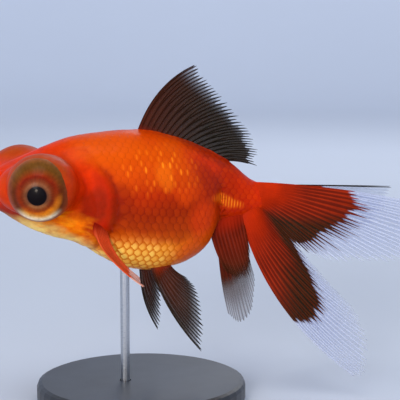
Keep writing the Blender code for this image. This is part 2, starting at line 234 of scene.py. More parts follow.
MOUTH_TILT = math.radians(18)
LIP_RADIUS, LIP_THICKNESS = 1.45, 0.60
EYE_X, EYE_Y, EYE_Z = -41.8, 12.0, 6.3
SOCKET_SIZE, SOCKET_BACK = (8.0, 7.35, 8.1), 1.6    # the fleshy ring round the eyeball
EYE_FORWARD, EYE_DOWN = math.radians(28), math.radians(5)
STALK_LENGTH, STALK_ROOT_RADIUS, STALK_BACK = 7.0, 5.4, 0.6
BROW_SIZE = (10.4, 7.6, 6.5)
BROW_BEHIND_EYE, BROW_INSIDE_EYE, BROW_BELOW_EYE = 1.6, 5.2, 0.7
# what the skin's surface carries: x, y, z of its middle, and radii
GILL_X, GILL_Z, GILL_RADIUS = -38.5, 1.0, 14.0
CHEEK_PLATE_RADIUS = 8.6
NOSTRIL, NOSTRIL_RADIUS = (-49.4, 3.3, 9.2), 0.80
MOUTH_CORNER_X, MOUTH_CORNER_Z, MOUTH_SLOPE = -52.6, 3.9, -0.75
FIN_SWELLING_X, FIN_SWELLING_Z = -27.6, -3.4
# rings in the skin below and behind the eye: the first one's distance from its middle, and how
# far each lies past the first
CREASE_DISTANCE, EYE_CREASES = 10.6, (0.0, 1.5, 2.8)
WRINKLE_HEIGHT = 0.035


def mix(a, b, t):
    return a + (b - a) * t


def ease(low, high, value):
    """0 below low, 1 above high, and a smooth rise between them."""
    t = min(max((value - low) / (high - low), 0.0), 1.0)
    return t * t * (3 - 2 * t)


def hill(distance, width):
    """1 at no distance, falling smoothly away over the width."""
    return math.exp(-(distance / width) ** 2)


def smooth_through(places, values, place):
    """Read a curve that passes through its values and makes no bump between them."""
    steps = [(values[i + 1] - values[i]) / (places[i + 1] - places[i])
             for i in range(len(values) - 1)]
    slopes = [steps[0]]
    for before, after in zip(steps, steps[1:]):
        slopes.append(0.0 if before * after <= 0 else 2 * before * after / (before + after))
    slopes.append(steps[-1])
    i = max(k for k in range(len(steps)) if k == 0 or place >= places[k])
    width = places[i + 1] - places[i]
    t = (place - places[i]) / width
    return ((2 * t**3 - 3 * t**2 + 1) * values[i] + (t**3 - 2 * t**2 + t) * width * slopes[i]
            + (3 * t**2 - 2 * t**3) * values[i + 1] + (t**3 - t**2) * width * slopes[i + 1])


def body_size(x):
    """Top, bottom, upper half width and lower half width of the body at x."""
    places = [station[0] for station in BODY_STATIONS]
    return [smooth_through(places, [station[k] for station in BODY_STATIONS], x)
            for k in range(1, 5)]


def section_place(x, size, angle, inset=0.0):
    """Place on the body at an angle round its section: 90 degrees is the back's ridge."""
    top, bottom, upper, lower = size
    half_width = mix(lower, upper, (1 + math.sin(angle)) / 2) - inset
    across = math.copysign(abs(math.cos(angle)) ** SECTION_POWER, math.cos(angle))
    return Vector((x, half_width * across,
                   (top + bottom) / 2 + ((top - bottom) / 2 - inset) * math.sin(angle)))


def looking(side, forward, down):
    """Direction of a look to a side, -1 for the left and 1 for the right."""
    return Vector((-math.sin(forward) * math.cos(down),
                   side * math.cos(forward) * math.cos(down), -math.sin(down)))


def eye_axis(side):
    """Direction in which the fleshy ring of an eye opens."""
    return looking(side, EYE_FORWARD, EYE_DOWN)


def settle(item, name):
    """Give a piece its name and leave its place, turn and size in its mesh."""
    bpy.ops.object.select_all(action="DESELECT")
    item.select_set(True)
    bpy.context.view_layer.objects.active = item
    bpy.ops.object.transform_apply(location=True, rotation=True, scale=True)
    item.name = item.data.name = name
    return item


def sphere_of_flesh(place, half_sizes, turn=(0, 0, 0)):
    lump = start_with(bpy.ops.mesh.primitive_uv_sphere_add, segments=64, ring_count=48,
                      radius=1, location=at(*place), rotation=turn)
    lump.scale = Vector(half_sizes) * MM
    return settle(lump, "flesh")


skin = settle(start_with(bpy.ops.mesh.primitive_uv_sphere_add, segments=120, ring_count=220,
                         radius=1, rotation=(0, math.pi / 2, 0)), "skin")
body_front, body_back = BODY_STATIONS[0][0], BODY_STATIONS[-1][0]
sizes_at = {}
for vertex in skin.data.vertices:
    share = 1 - math.acos(min(max(vertex.co.x, -1), 1)) / math.pi
    x = round(mix(body_front, body_back, share), 3)
    if x not in sizes_at:
        sizes_at[x] = body_size(x)
    angle = math.atan2(vertex.co.z, vertex.co.y)
    if share in (0.0, 1.0) or abs(vertex.co.x) > 0.99999:
        vertex.co = at(x, 0, sum(sizes_at[x][:2]) / 2)
    else:
        vertex.co = at(*section_place(x, sizes_at[x], angle, COAT_DEPTH))
flesh = [skin]
for side in (-1, 1):
    centre = Vector((EYE_X, side * EYE_Y, EYE_Z))
    turn = eye_axis(side).to_track_quat("Z", "Y").to_euler()
    brow = centre + Vector((BROW_BEHIND_EYE, -side * BROW_INSIDE_EYE, -BROW_BELOW_EYE))
    flesh.append(sphere_of_flesh(brow, BROW_SIZE))
    flesh.append(sphere_of_flesh(centre - eye_axis(side) * SOCKET_BACK, SOCKET_SIZE, turn))
    flesh.append(settle(start_with(
        bpy.ops.mesh.primitive_cone_add, vertices=96, radius1=STALK_ROOT_RADIUS * MM,
        radius2=(SOCKET_SIZE[1] - 0.1) * MM, depth=STALK_LENGTH * MM, rotation=turn,
        location=at(*(centre - eye_axis(side) * (SOCKET_BACK + STALK_BACK + STALK_LENGTH / 2)))),
        "stalk"))
lips = start_with(bpy.ops.mesh.primitive_torus_add, major_segments=64, minor_segments=24,
                  major_radius=LIP_RADIUS * MM, minor_radius=LIP_THICKNESS * MM,
                  location=at(*MOUTH), rotation=(0, math.pi / 2 + MOUTH_TILT, 0))
lips.scale = (1.0, 1.15, 1.0)
flesh.append(settle(lips, "lips"))
bpy.ops.object.select_all(action="DESELECT")
for lump in flesh:
    lump.select_set(True)
bpy.context.view_layer.objects.active = skin
bpy.ops.object.join()
apply_modifier(skin, "REMESH", mode="VOXEL", voxel_size=SKIN_GRAIN * MM)
apply_modifier(skin, "SMOOTH", factor=0.5, iterations=10)
# the joints between the eye stalks and the head melt into each other
stalk_root = skin.vertex_groups.new(name="stalk_root")
for vertex in skin.data.vertices:
    place = (vertex.co - MIDDLE) / MM
    side = 1 if place.y > 0 else -1
    from_eye = place - Vector((EYE_X, side * EYE_Y, EYE_Z))
    depth = from_eye.dot(eye_axis(side))
    share = (ease(-1.2, -3.5, depth) * ease(17.0, 13.0, from_eye.length)
             * ease(0.4, 2.0, place.y * side))
    if share > 0:
        stalk_root.add([vertex.index], share, "REPLACE")
apply_modifier(skin, "SMOOTH", factor=0.5, iterations=110, vertex_group="stalk_root")
skin.vertex_groups.clear()


def skin_relief(x, y, z):
    """How far the skin stands out or in at a place on the fish, in millimetres."""
    y = abs(y)
    # the round rear edge of the gill cover, and the edge of the plate inside it
    out = math.hypot(x - GILL_X, z - GILL_Z) - GILL_RADIUS
    rear = ease(GILL_X + 3, GILL_X + 8, x) * ease(13.5, 8.5, z)
    height = rear * (0.20 * ease(-5.0, -0.8, out) * ease(0.7, -0.7, out)
                     - 0.06 * hill(out - 0.7, 0.5))
    inner = math.hypot(x - GILL_X - 1.5, z - GILL_Z + 0.5) - CHEEK_PLATE_RADIUS
    height -= rear * 0.10 * hill(inner, 0.5)
    # a nostril with its rim, the slit of the mouth and the line under the jaw
    nostril = math.dist((x, y, z), NOSTRIL)
    height += 0.36 * hill(nostril - NOSTRIL_RADIUS, 0.34) - 0.50 * hill(nostril, 0.42)
    mouth_line = z - MOUTH_CORNER_Z - (x - MOUTH_CORNER_X) * MOUTH_SLOPE
    height -= 0.22 * hill(mouth_line, 0.28) * ease(-50.0, -51.2, x) * ease(0.8, 1.6, y)
    height -= 0.25 * hill(math.hypot(x + 54.0, z - 5.0), 0.9) * hill(y, 1.0)
    throat = z + 6.6 + (x + 40) * 0.42
    height -= 0.14 * hill(throat, 0.35) * ease(-47, -44, x) * ease(-30, -33, x)
    # the ridge that the dorsal fin stands on, and the muscle of the pectoral fin
    ridge = ease(-18, -15, x) * ease(8.5, 6.5, x) * (1 if z > 2 else 0)
    height += 0.30 * ridge * hill(y, 0.8)
    height += 0.45 * hill(math.hypot((x - FIN_SWELLING_X) * 0.9, z - FIN_SWELLING_Z), 2.2)
    for crease in EYE_CREASES:
        off = math.hypot(x - EYE_X, z - EYE_Z) - CREASE_DISTANCE - crease
        height -= (0.10 - 0.02 * crease) * hill(off, 0.3) * ease(-1, -3, z) * ease(-42, -39, x)
    return height


skin_normals = [vertex.normal.copy() for vertex in skin.data.vertices]
for vertex, normal in zip(skin.data.vertices, skin_normals):
    place = (vertex.co - MIDDLE) / MM
    wrinkle = WRINKLE_HEIGHT * noise.noise(place * 0.9)
    vertex.co += normal * (skin_relief(*place) + wrinkle) * MM
bpy.ops.object.shade_smooth()

# Colours of the skin by height: the fish's own colours, with painted shade in the dark band
# across the lower middle of the flank
SKIN_HEIGHT_COLOURS_AND_SHADE = (
    (-16.0, (224, 122, 32)), (-12.5, (234, 142, 32)), (-9.5, (232, 134, 15)),
    (-7.0, (194, 84, 5)), (-4.6, (148, 46, 2)), (-1.0, (130, 28, 0)),
    (3.0, (162, 34, 0)), (8.0, (194, 64, 0)), (13.0, (200, 72, 0)),
    (17.5, (190, 50, 0)))
# Some patches are painted light and shade; each of these is marked below
# Patches over them: x, z, half length, half height, turn in degrees, strength, colour
SKIN_COLOUR_LIGHT_AND_SHADE_PATCHES = (
    # painted shade: darker red below the rear of the dorsal fin
    (5.0, 8.5, 13.0, 6.5, -26, 0.90, (186, 33, 0)),
    (-1.6, -3.6, 5.0, 5.4, 0, 0.80, (204, 54, 4)),
    (-2.5, -10.5, 9.0, 5.0, 8, 0.90, (206, 74, 4)),
    # painted shadow: this patch and the next darken the flank behind the belly's bulge
    (4.4, 3.2, 3.8, 6.8, -14, 0.55, (136, 20, 0)),
    (0.4, 4.2, 7.4, 2.8, -54, 0.75, (136, 20, 0)),
    (0.6, 11.8, 11.0, 1.5, -30, 0.60, (120, 18, 0)),
    (-44.0, 10.0, 13.0, 8.0, 16, 0.90, (214, 44, 0)),
    (-24.0, 15.0, 9.0, 4.0, 6, 0.70, (204, 76, 0)),
    # painted light: the cheek is brighter next to the eye, where the stalk shades it
    (-33.0, 6.0, 6.5, 6.0, 0, 0.90, (216, 44, 0)),
    # painted shade: this patch and the next two darken the rear of the gill cover and the flank
    # just behind it
    (-27.0, 5.4, 3.0, 4.6, 0, 0.60, (160, 27, 0)),
    (-29.0, 1.6, 4.6, 3.6, -8, 0.85, (140, 27, 0)),
    (-22.6, 2.6, 3.6, 4.4, 0, 0.50, (118, 22, 0)),
    (-7.2, 2.8, 4.0, 2.6, 0, 0.55, (200, 62, 2)),
    (-10.6, -6.2, 4.4, 2.2, 10, 0.55, (146, 46, 2)),
    (-34.0, 1.2, 2.8, 2.4, -8, 0.60, (214, 56, 0)),
    (-33.0, -3.3, 6.0, 3.1, -14, 0.95, (248, 120, 2)),
    (-36.5, -7.4, 14.0, 3.2, -24, 0.95, (255, 218, 124)),
    (-27.6, -4.2, 2.6, 2.5, 0, 0.85, (150, 20, 0)),
    # partly the fish's own gold, partly a painted glint on the scales of the shoulder
    (-12.4, 6.6, 2.8, 3.9, 12, 0.32, (250, 128, 10)),
    (9.5, -2.2, 7.5, 4.0, -10, 0.85, (184, 30, 0)),
    # painted highlights: a soft gold streak behind the vent, along rows of scales
    (4.6, 0.3, 5.2, 1.9, -16, 0.36, (240, 90, 4)),
    (15.5, 1.0, 5.0, 6.0, 0, 0.90, (202, 38, 0)),
    (-52.5, 4.5, 4.5, 4.5, 0, 0.85, (216, 40, 4)))
# A gold streak of painted highlights that shows only on fine ribs, and the step from rib to rib
RIBBED_HIGHLIGHT_STREAK = (5.2, 0.2, 4.4, 1.5, -16, 0.62, (255, 150, 30))
RIB_STEP = 0.8


def soft_rise(tree, value, low, high, bottom=0.0, top=1.0):
    return rise(tree, value, low, high, bottom, top, course="SMOOTHSTEP")


def reckon(tree, operation, *values, clamp=False):
    """Do one sum with numbers."""
    return add_node(tree, "Math", dict(enumerate(values)), operation=operation,
                    use_clamp=clamp).outputs[0]


def times(tree, first, second, clamp=False):
    return reckon(tree, "MULTIPLY", first, second, clamp=clamp)


def blend(tree, share, first, second, how="MIX"):
    """Go from the first colour to the second, or lay the second over the first."""
    return add_node(tree, "Mix", {"Factor": share, 6: first, 7: second},
                    data_type="RGBA", blend_type=how).outputs[2]


def axis(tree, vector, letter):
    return add_node(tree, "SeparateXYZ", {0: vector}).outputs[letter]


def mapped(tree, vector, how="POINT", **frame_of_it):
    """Stretch and turn a vector, or, with how="TEXTURE", measure it in a patch's own frame."""
    return add_node(tree, "Mapping", {"Vector": vector, **frame_of_it},
                    vector_type=how).outputs[0]


def bumps(tree, height, strength):
    return add_node(tree, "Bump", {"Height": height, "Strength": strength,
                                   "Distance": 0.1 * MM}).outputs[0]


def zone_colours(tree, value, zones, lowest, highest):
    """Colours along a value that is lowest and highest at the ends of a table of zones."""
    start, end = zones[0][0], zones[-1][0]
    ramp = add_node(tree, "ValToRGB", {"Fac": rise(tree, value, lowest, highest)})
    stops = ramp.color_ramp.elements
    while len(stops) < len(zones):
        stops.new(0.5)
    for stop, (place, colour) in zip(stops, zones):
        stop.position = (place - start) / (end - start)
    for stop, (place, colour) in zip(stops, zones):
        stop.color = tint(*colour)
    return ramp.outputs["Color"]


def from_patch(tree, place, x, z, length, height, turn=0.0):
    """Distance from the middle of an oval patch on the fish's sides, 1 at its edge."""
    return reckon_vector(tree, "LENGTH", mapped(
        tree, place, "TEXTURE", Location=at(x, 0, z), Rotation=(0, -math.radians(turn), 0),
        Scale=(length * MM, 1.0, height * MM)))


def add_patch(tree, place, colour, x, z, length, height, turn, strength, patch_colour):
    """Lay a soft patch of colour over what is there, the same on both sides of the fish."""
    share = soft_rise(tree, from_patch(tree, place, x, z, length, height, turn),
                      0.45, 1.25, strength, 0.0)
    return blend(tree, share, colour, tint(*patch_colour))


def add_markings_and_painted_light(tree):
    """The fish's colours with painted light and shade, which its skin and its scales share, and
    the place on it.
    """
    place = object_place(tree)
    cloud = add_node(tree, "TexNoise", {"Vector": place, "Scale": 160.0, "Detail": 3.0})
    drift = reckon_vector(tree, "SUBTRACT", cloud.outputs["Color"], (0.5, 0.5, 0.5))
    shift = add_node(tree, "VectorMath", {0: drift, "Scale": 4.5 * MM},
                     operation="SCALE").outputs[0]
    wavy = reckon_vector(tree, "ADD", place, shift)
    low, high = SKIN_HEIGHT_COLOURS_AND_SHADE[0][0], SKIN_HEIGHT_COLOURS_AND_SHADE[-1][0]
    colour = zone_colours(tree, axis(tree, wavy, "Z"), SKIN_HEIGHT_COLOURS_AND_SHADE,
                          at(0, 0, low).z, at(0, 0, high).z)
    for patch in SKIN_COLOUR_LIGHT_AND_SHADE_PATCHES:
        colour = add_patch(tree, wavy, colour, *patch)
    # painted highlights: fine gold ribs cross the streak behind the vent
    painted_highlight = add_patch(tree, wavy, colour, *RIBBED_HIGHLIGHT_STREAK)
    highlight_ribs = reckon(tree, "SINE",
                  times(tree, axis(tree, place, "X"), 2 * math.pi / (RIB_STEP * MM)))
    colour = blend(tree, soft_rise(tree, highlight_ribs, -0.2, 0.9), colour, painted_highlight)
    # the edge of the gill cover looks raised: a painted lit band with a painted shadow behind it
    from_gill = reckon_vector(tree, "SUBTRACT", wavy, at(GILL_X, 0, GILL_Z))
    off = reckon_vector(tree, "LENGTH",
                        reckon_vector(tree, "MULTIPLY", from_gill, (1.0, 0.0, 1.0)))
    where = times(tree, soft_rise(tree, axis(tree, from_gill, "X"), 5 * MM, 10 * MM),
                  soft_rise(tree, axis(tree, from_gill, "Z"), 11 * MM, 6 * MM))
    for radius, half, strength, line_colour in (
            (GILL_RADIUS - 1.4, 1.3, 0.45, tint(186, 34, 0)),
            (GILL_RADIUS + 0.6, 0.9, 0.55, tint(112, 20, 0))):
        distance = reckon(tree, "ABSOLUTE", reckon(tree, "SUBTRACT", off, radius * MM))
        band = soft_rise(tree, distance, half * MM, 0.0, 0.0, strength)
        colour = blend(tree, times(tree, band, where), colour, line_colour)
    return colour, place


def add_eye_rings(tree, place, colour):
    """Tint the flesh that stretches over each eyeball, where the dark ball shows through."""
    for side in (-1, 1):
        from_eye = reckon_vector(tree, "SUBTRACT", place, at(EYE_X, side * EYE_Y, EYE_Z))
        depth = reckon_vector(tree, "DOT_PRODUCT", from_eye, eye_axis(side))
        height = axis(tree, from_eye, "Z")
        over_ball = soft_rise(tree, depth, -2.6 * MM, 1.6 * MM, 0.0, 0.85)
        crown = times(tree, soft_rise(tree, height, 2.5 * MM, 6.5 * MM),
                      soft_rise(tree, depth, -10.0 * MM, -4.5 * MM, 0.0, 0.8))
        ring = blend(tree, soft_rise(tree, height, 0.0, 6 * MM),
                     tint(190, 56, 10), tint(150, 66, 16))
        colour = blend(tree, reckon(tree, "MAXIMUM", over_ball, crown), colour, ring)
    return colour


skin_finish, tree, shader = new_material("fish_skin")
markings_and_light, place = add_markings_and_painted_light(tree)
markings_and_light = add_eye_rings(tree, place, markings_and_light)
# soft golden streaks lie low on the cheek, and darker clouds all over
along_cheek = mapped(tree, place, Rotation=(0, math.radians(35), 0), Scale=(0.45, 1.0, 1.3))
low_cheek = soft_rise(tree, from_patch(tree, place, -35.0, -3.5, 9.0, 4.5, -22), 1.2, 0.4)
streaks = rise(tree, noise_value(tree, along_cheek, 520.0, 3.0), 0.48, 0.72, 0.0, 0.7)
clouds = rise(tree, noise_value(tree, place, 420.0, 3.0), 0.56, 0.24, 0.0, 0.5)
markings_and_light = blend(tree, times(tree, streaks, low_cheek), markings_and_light, tint(255, 158, 20))
markings_and_light = blend(tree, clouds, markings_and_light, tint(166, 26, 0))
# fine freckles and pores
fine = noise_value(tree, place, 1500.0, 4.0)
freckles = blend(tree, fine, (0.80, 0.72, 0.66, 1), (1.18, 1.16, 1.12, 1))
fill_sockets(tree, shader, {
    "Base Color": blend(tree, 0.7, markings_and_light, freckles, "MULTIPLY"),
    "Roughness": rise(tree, fine, 0.0, 1.0, 0.32, 0.50),
    "Normal": bumps(tree, fine, 0.25),
    "Specular IOR Level": 0.04, "Coat Weight": 0.03, "Coat Roughness": 0.16,
    "Subsurface Weight": 0.10, "Subsurface Radius": (1.0, 0.35, 0.12),
    "Subsurface Scale": 1.2 * MM})
skin.data.materials.append(skin_finish)
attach(skin, "root")
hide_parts("head", "trunk", "tail_base")

# ======================== Scales
# Small round shields of clear bone with a golden, silvery back grow in slanting rows.
# Each is rooted under the one before it and lifts a little at its free rear edge.

SCALE_STEP = 1.75                         # distance between scales along a row
SCALE_ROW_ABOVE, SCALE_ROW_BELOW = 1.5, 1.78
SCALE_LIFT_ABOVE, SCALE_LIFT_BELOW = 0.06, 0.10
SCALE_SUNK = 0.04                         # how far its underside lies in the skin
SCALE_RINGS = (0.0, 0.42, 0.78, 0.95, 1.0)
SCALE_SIDES = 14
# x and z of the line along the flank that the rows are counted from, up to 18 each way
LATERAL_LINE = ((-36.0, 6.5), (-26.0, 4.5), (-12.0, 2.0), (2.0, 1.2), (16.0, 0.4))
ROWS_EACH_WAY = 18
SCALES_FRONT, SCALES_BACK = -35.0, 15.2
BARE_BEHIND_GILL = 1.3
RIDGE_GAP = 0.15                          # bare strip along the back and the belly
PATCH_SIZE = 0.003                        # a scale's own patch of the coat's unwrap

skin_tree = BVHTree.FromObject(skin, bpy.context.evaluated_depsgraph_get())


def half_section(x):
    """Places down the fish's left side from back to belly, with the running length."""
    size = body_size(x)
    places = [section_place(x, size, math.radians(90 + step * 2.5)) for step in range(73)]
    lengths = [0.0]
    for before, after in zip(places, places[1:]):
        lengths.append(lengths[-1] + (after - before).length)
    return places, lengths


def down_section(section, length):
    """The place at a running length down the side, or None past either ridge."""
    places, lengths = section
    if length < RIDGE_GAP or length > lengths[-1] - RIDGE_GAP:
        return None
    k = max(i for i in range(len(lengths) - 1) if lengths[i] <= length)
    share = (length - lengths[k]) / (lengths[k + 1] - lengths[k])
    return places[k].lerp(places[k + 1], share)


def line_length(section, height):
    """Running length at which the side passes a height."""
    places, lengths = section
    for k in range(len(places) - 1):
        if places[k + 1].z <= height:
            return lengths[k]
    return lengths[-1]


def scale_roots():
    """Where each scale of the left side grows, and how long and wide it is there."""
    roots = []
    line_x, line_z = zip(*LATERAL_LINE)
    sections = {}
    for row in range(-ROWS_EACH_WAY, ROWS_EACH_WAY + 1):
        pitch = SCALE_ROW_ABOVE if row > 0 else SCALE_ROW_BELOW
        for column in range(int((SCALES_BACK - SCALES_FRONT) / SCALE_STEP) + 1):
            x = SCALES_FRONT + (column + 0.5 * (row % 2)) * SCALE_STEP
            if x > SCALES_BACK:
                continue
            if x not in sections:
                section = half_section(x)
                sections[x] = section, line_length(section, smooth_through(line_x, line_z, x))
            section, middle = sections[x]
            taper = mix(1.0, 0.78, ease(-6, 14, x)) * mix(0.86, 1.0, ease(-34, -24, x))
            place = down_section(section, middle - row * pitch * taper)
            if place is None:
                continue
            from_gill = math.hypot(place.x - GILL_X, place.z - GILL_Z)
            on_head = from_gill < GILL_RADIUS + BARE_BEHIND_GILL or place.x < GILL_X + 5
            on_throat = place.x < -27.5 and place.z < -2
            if on_head or on_throat:
                continue
            roots.append((place, SCALE_STEP * 1.02, pitch * taper * 1.10))
    return roots


def grow_scales(name, side):
    """Build one side's scales as a single mesh of small closed shields."""
    chance = random.Random(17 + side)
    shape = bmesh.new()
    rest_uv = shape.loops.layers.uv.new("OFBake")
    own_uv = shape.loops.layers.uv.new("shield")
    luck = shape.verts.layers.float.new("luck")
    for place, half_length, half_width in scale_roots():
        place = Vector((place.x, -side * place.y, place.z))
        centre, normal = skin_tree.find_nearest(at(*place))[:2]
        back = (Vector((1, 0, 0)) - normal * normal.x).normalized()
        across = normal.cross(back)
        own_luck = chance.random()
        patch = Vector(((place.x + 40) / 60, (math.atan2(place.z, abs(place.y)) + 1.7) / 3.4))
        tilt = chance.uniform(-0.07, 0.07)
        half_length *= chance.uniform(0.95, 1.06)
        lift = mix(SCALE_LIFT_BELOW, SCALE_LIFT_ABOVE, ease(-8.0, -3.0, place.z))
        grid = []
        for reach in SCALE_RINGS:
            for corner in range(SCALE_SIDES if reach else 1):
                angle = 2 * math.pi * corner / SCALE_SIDES
                along = math.cos(angle) * reach
                sideways = math.sin(angle) * reach * (1 - 0.12 * along)
                spot = centre + (back * along * half_length
                                 + across * (sideways + tilt * along) * half_width) * MM
                foot, lean = skin_tree.find_nearest(spot)[:2]
                stand_off = (lift * (along * 0.62 + 0.42) - 0.03 * reach**4
                             - 0.10 * ease(-0.35, -1.0, along))
                grid.append((along, sideways, foot + lean * stand_off * MM,
                             foot - lean * SCALE_SUNK * MM))
        top = [shape.verts.new(upper) for along, sideways, upper, lower in grid]
        rim = [shape.verts.new(lower) for along, sideways, upper, lower in grid[-SCALE_SIDES:]]
        for vertex in top + rim:
            vertex[luck] = own_luck
        faces = []
        for corner in range(SCALE_SIDES):
            following = (corner + 1) % SCALE_SIDES
            faces.append(shape.faces.new((top[0], top[1 + corner], top[1 + following])))
            for ring in range(len(SCALE_RINGS) - 2):
                inner, outer = 1 + ring * SCALE_SIDES, 1 + (ring + 1) * SCALE_SIDES
                faces.append(shape.faces.new((top[inner + corner], top[outer + corner],
                                              top[outer + following], top[inner + following])))
            outer = len(grid) - SCALE_SIDES
            faces.append(shape.faces.new((top[outer + corner], rim[corner], rim[following],
                                          top[outer + following])))
        faces.append(shape.faces.new(tuple(reversed(rim))))
        flat = {vertex: grid[k][:2] for k, vertex in enumerate(top)}
        flat.update({vertex: (math.cos(2 * math.pi * k / SCALE_SIDES),
                              math.sin(2 * math.pi * k / SCALE_SIDES))
                     for k, vertex in enumerate(rim)})
        for face in faces:
            # a wall face that has two corners at one place of the shield is left flat
            face.smooth = len({flat[vertex] for vertex in face.verts}) == len(face.verts)
            for loop in face.loops:
                along, sideways = flat[loop.vert]
                loop[own_uv].uv = (along * 0.5 + 0.5, sideways * 0.5 + 0.5)
                loop[rest_uv].uv = patch + Vector((along, sideways)) * PATCH_SIZE / 2
    mesh = bpy.data.meshes.new(name)
    bmesh.ops.recalc_face_normals(shape, faces=shape.faces)
    shape.to_mesh(mesh)
    shape.free()
    item = bpy.data.objects.new(name, mesh)
    bpy.context.scene.collection.objects.link(item)
    return item


scale_finish, tree, shader = new_material("fish_scales")
markings_and_light, place = add_markings_and_painted_light(tree)
shield = add_node(tree, "UVMap", uv_map="shield").outputs[0]
luck = add_node(tree, "Attribute", attribute_name="luck").outputs["Fac"]
toward_rim = soft_rise(tree, reckon_vector(tree, "DISTANCE", shield, (0.62, 0.5, 0.0)),
                       0.16, 0.40)
# the belly's scales are bright and silvery, the others only a little lighter at the middle
belly = soft_rise(tree, from_patch(tree, place, -22.0, -12.2, 16, 6.8), 1.15, 0.45)
# the lighter middles are partly the scales' own silver, partly a painted sheen
shine = times(tree, reckon(tree, "SUBTRACT", 1.0, toward_rim),
              rise(tree, luck, 0.0, 1.0, 0.16, 0.40))
shine = times(tree, shine, rise(tree, belly, 0.0, 1.0, 0.36, 1.70), clamp=True)
markings_and_light = blend(tree, shine, markings_and_light,
                 blend(tree, belly, tint(244, 84, 0), tint(255, 214, 104)))
rim_shade = times(tree, toward_rim, rise(tree, belly, 0.0, 1.0, 0.08, 0.50))
markings_and_light = blend(tree, rim_shade, markings_and_light, tint(206, 118, 60), "MULTIPLY")
# on the shoulder a few scales carry a painted gold glint along a part of their free edge
shoulder = soft_rise(tree, from_patch(tree, place, -13.0, 8.5, 11, 6), 1.2, 0.1, 0.0, 0.68)
chosen = times(tree, shoulder, rise(tree, luck, 0.50, 0.90))
from_glint = reckon_vector(tree, "LENGTH", mapped(
    tree, shield, "TEXTURE", Location=(0.70, 0.52, 0.0), Scale=(0.11, 0.34, 1.0)))
painted_glint = times(tree, chosen, soft_rise(tree, from_glint, 1.0, 0.2))
# fine furrows fan out over each scale
furrows = noise_value(tree, mapped(tree, shield, Scale=(1.6, 9.0, 1.0)), 1.6, 2.0)
fill_sockets(tree, shader, {
    "Base Color": blend(tree, painted_glint, markings_and_light, tint(255, 146, 24)),
    "Normal": bumps(tree, furrows, 0.2), "Roughness": 0.36,
    "Specular IOR Level": 0.05, "Coat Weight": 0.03, "Coat Roughness": 0.16})
for side, name in ((-1, "scales_left"), (1, "scales_right")):
    scales = grow_scales(name, side)
    scales.data.materials.append(scale_finish)
    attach(scales, "root")

# ======================== Eyes
# Each bulging eye is a glossy ball: a black pupil in a pinkish ring, an iris that is dark
# red above and gold to silver below, and olive white round it. Flesh closes on it all round.

GAZE_FORWARD, GAZE_DOWN = math.radians(19.5), math.radians(5.5)
BALL_RADIUS, BALL_DROP = 7.25, 0.25
EYE_PUPIL = 2.15                          # radius
GOLD_TURN, GOLD_RADIUS = math.radians(-48), 5.1
# distance over the ball from the middle of the pupil, then colour
UPPER_EYE = ((2.20, (90, 54, 36)), (2.75, (126, 74, 44)), (3.30, (112, 50, 22)),
             (3.85, (106, 33, 9)), (4.35, (110, 24, 3)), (4.90, (126, 38, 7)),
             (5.40, (118, 47, 10)), (6.00, (106, 53, 12)), (6.80, (94, 57, 14)),
             (8.00, (100, 62, 18)), (9.20, (124, 70, 26)), (10.8, (152, 78, 38)))
SIDE_EYE = ((2.20, (84, 50, 34)), (2.80, (110, 58, 32)), (3.40, (104, 38, 12)),
            (4.00, (118, 36, 5)), (4.60, (124, 38, 3)), (5.20, (104, 34, 4)),
            (5.80, (88, 33, 5)), (6.50, (96, 41, 11)), (7.40, (122, 52, 20)),
            (8.40, (150, 60, 26)), (10.0, (164, 66, 30)))
LOWER_EYE = ((2.20, (116, 70, 42)), (2.65, (140, 86, 48)), (3.20, (132, 62, 22)),
             (3.80, (140, 56, 8)), (4.50, (186, 92, 8)), (5.10, (208, 132, 42)),
             (5.70, (216, 164, 88)), (6.40, (228, 200, 156)), (7.10, (240, 222, 190)),
             (7.80, (194, 154, 118)), (8.50, (146, 78, 42)), (10.0, (160, 66, 30)))


def flat_place(tree, across, up):
    return add_node(tree, "CombineXYZ", {"X": across, "Y": up}).outputs[0]


def blend_number(tree, share, first, second):
    return add_node(tree, "Mix", {"Factor": share, 2: first, 3: second},
                    data_type="FLOAT").outputs[0]


